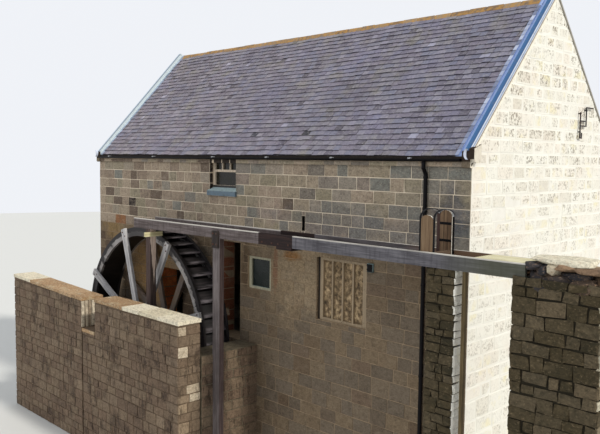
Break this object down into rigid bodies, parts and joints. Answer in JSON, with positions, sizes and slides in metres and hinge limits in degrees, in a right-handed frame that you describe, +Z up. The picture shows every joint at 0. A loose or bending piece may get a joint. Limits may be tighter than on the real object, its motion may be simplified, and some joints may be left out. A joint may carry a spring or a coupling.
{
  "type": "watermill",
  "caption": "A gabled stone mill house with a slate roof, an overshot waterwheel turning in a walled pit along its front, and a raised open timber launder with a small hooped sluice that brings water to the wheel.",
  "frame": {"origin": "on the level that the walls stand on, under the middle of the whole part's box", "axes": "+X along the mill house to the right as its front is faced, +Y into the house from the front, +Z up"},
  "size_m": [17.64, 8.5164, 11.1434],
  "materials": {
    "rubble": "coursed sandstone, rough-faced",
    "pale_stone": "dressed sandstone",
    "flags": "worn flags",
    "boards": "weathered boards",
    "slate": "riven slates",
    "ridge_stone": "lichened stone",
    "verge_stone": "smooth grey stone",
    "black_iron": "painted black",
    "cream_paint": "old cream paint",
    "old_timber": "silvered oak",
    "grimy_glass": "grimy",
    "glass": "old window glass",
    "wet_wood": "wet, dark",
    "rusty_iron": "rusty",
    "tarred_wood": "dark, tarred",
    "pale_timber": "fresh-sawn, bleached",
    "grey_paint": "weathered grey-green paint"
  },
  "bodies": {
    "mill": {"front_wall_left": "rubble", "front_wall_right": "rubble", "front_wall_upper": "rubble", "doorway_lintel": "rubble", "shaft_lintel": "pale_stone", "back_wall": "rubble", "right_gable": "rubble", "left_gable": "rubble", "ground_floor": "flags", "upper_floor": "boards", "floor_beams": "boards", "roof_front": "slate", "roof_back": "slate", "ridge": "ridge_stone", "right_verge": "verge_stone", "left_verge": "verge_stone", "kneelers": "pale_stone", "gutters": "black_iron", "downpipes": "black_iron", "pipe_brackets": "black_iron", "window_sills": "verge_stone", "upper_window": "cream_paint", "lower_window": "cream_paint", "wide_light": "old_timber", "wide_light_panels": "grimy_glass", "back_windows": "cream_paint", "window_glass": "glass", "wall_box": "grey_paint", "gable_bracket": "black_iron", "bearings": "rusty_iron", "bearing_pier": "rubble", "pit_wall": "rubble", "pit_end_walls": "rubble", "yard_wall": "rubble", "launder_left_length": "boards", "launder_splice": "tarred_wood", "launder_right_length": "boards", "inlet_cover": "pale_timber", "wheel_post": "boards", "bolster": "pale_timber", "middle_post": "old_timber", "right_post": "boards", "launder_pier": "rubble", "abutment": "rubble", "sluice_hoops": "rusty_iron", "sluice_cheeks": "tarred_wood", "cheek_straps": "rusty_iron"},
    "wheel": {"wheel_shrouds": "wet_wood", "wheel_buckets": "wet_wood", "wheel_sole": "wet_wood", "wheel_arms": "old_timber", "wheel_naves": "rusty_iron", "wheel_axle": "old_timber"},
    "gate": {"sluice_gate": "boards"}
  },
  "joints": [
    {"name": "wheel_spin", "type": "hinge", "parent": "mill", "child": "wheel", "pos_m": [-3.79, -2.5082, 2.975], "axis": [0, 1, 0], "continuous": true},
    {"name": "sluice_lift", "type": "slide", "parent": "mill", "child": "gate", "axis": [0, 0, 1], "range_m": [0, 0.25]}
  ]
}
